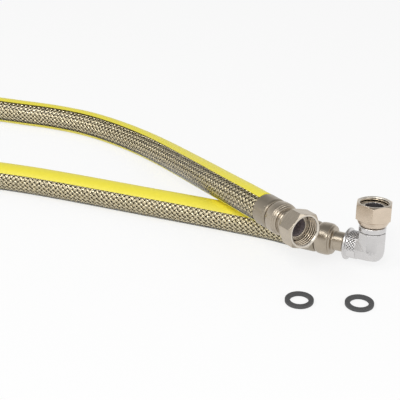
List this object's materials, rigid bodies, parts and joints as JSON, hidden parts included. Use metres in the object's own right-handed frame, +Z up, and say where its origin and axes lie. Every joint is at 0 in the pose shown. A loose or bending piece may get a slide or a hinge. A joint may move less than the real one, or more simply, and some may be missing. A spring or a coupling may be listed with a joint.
{
  "type": "gas hose",
  "caption": "Flexible braided gas hose under a clear cover with yellow stripes, with a straight swivel nut end, an elbow swivel nut end and loose flat gaskets.",
  "frame": {"origin": "on the ground under the middle of the fittings and gaskets", "axes": "+Z up, +X to the right along the row of fittings, +Y away, towards the hose's return bend"},
  "size_m": [0.5235, 0.359, 0.0534],
  "materials": {
    "clear_pvc_cover": "clear, faintly yellow, glossy, with two yellow stripes",
    "stainless_braid": "bright drawn wire",
    "stainless_tube": "bright",
    "stainless_ferrule": "satin, pressed",
    "nickel_brass_tail": "nickel plated, turned",
    "nickel_brass_nut": "nickel plated",
    "chrome_brass_elbow": "chrome plated, forged and turned",
    "warm_nickel_brass_nut": "nickel plated, warm",
    "black_rubber": "matt, moulded"
  },
  "bodies": {
    "hose": {"hose_jacket": "clear_pvc_cover", "wire_braid": "stainless_braid", "inner_tube": "stainless_tube", "straight_ferrule": "stainless_ferrule", "straight_tail": "nickel_brass_tail", "elbow_ferrule": "stainless_ferrule", "elbow_tail": "nickel_brass_tail", "elbow_body": "chrome_brass_elbow", "elbow_spigot": "chrome_brass_elbow", "gasket_straight_end": "black_rubber", "gasket_elbow_end": "black_rubber"},
    "straight_nut": {"straight_nut": "nickel_brass_nut"},
    "elbow_nut": {"elbow_nut": "warm_nickel_brass_nut"}
  },
  "joints": [
    {"name": "straight_nut_spin", "type": "hinge", "parent": "hose", "child": "straight_nut", "pos_m": [-0.02225, -0.0021, 0.03952], "axis": [0.5286, -0.8458, 0.0723], "continuous": true},
    {"name": "elbow_nut_spin", "type": "hinge", "parent": "hose", "child": "elbow_nut", "pos_m": [0.03411, 0.01376, 0.02965], "axis": [0.0213, 0.1181, 0.9928], "continuous": true}
  ]
}
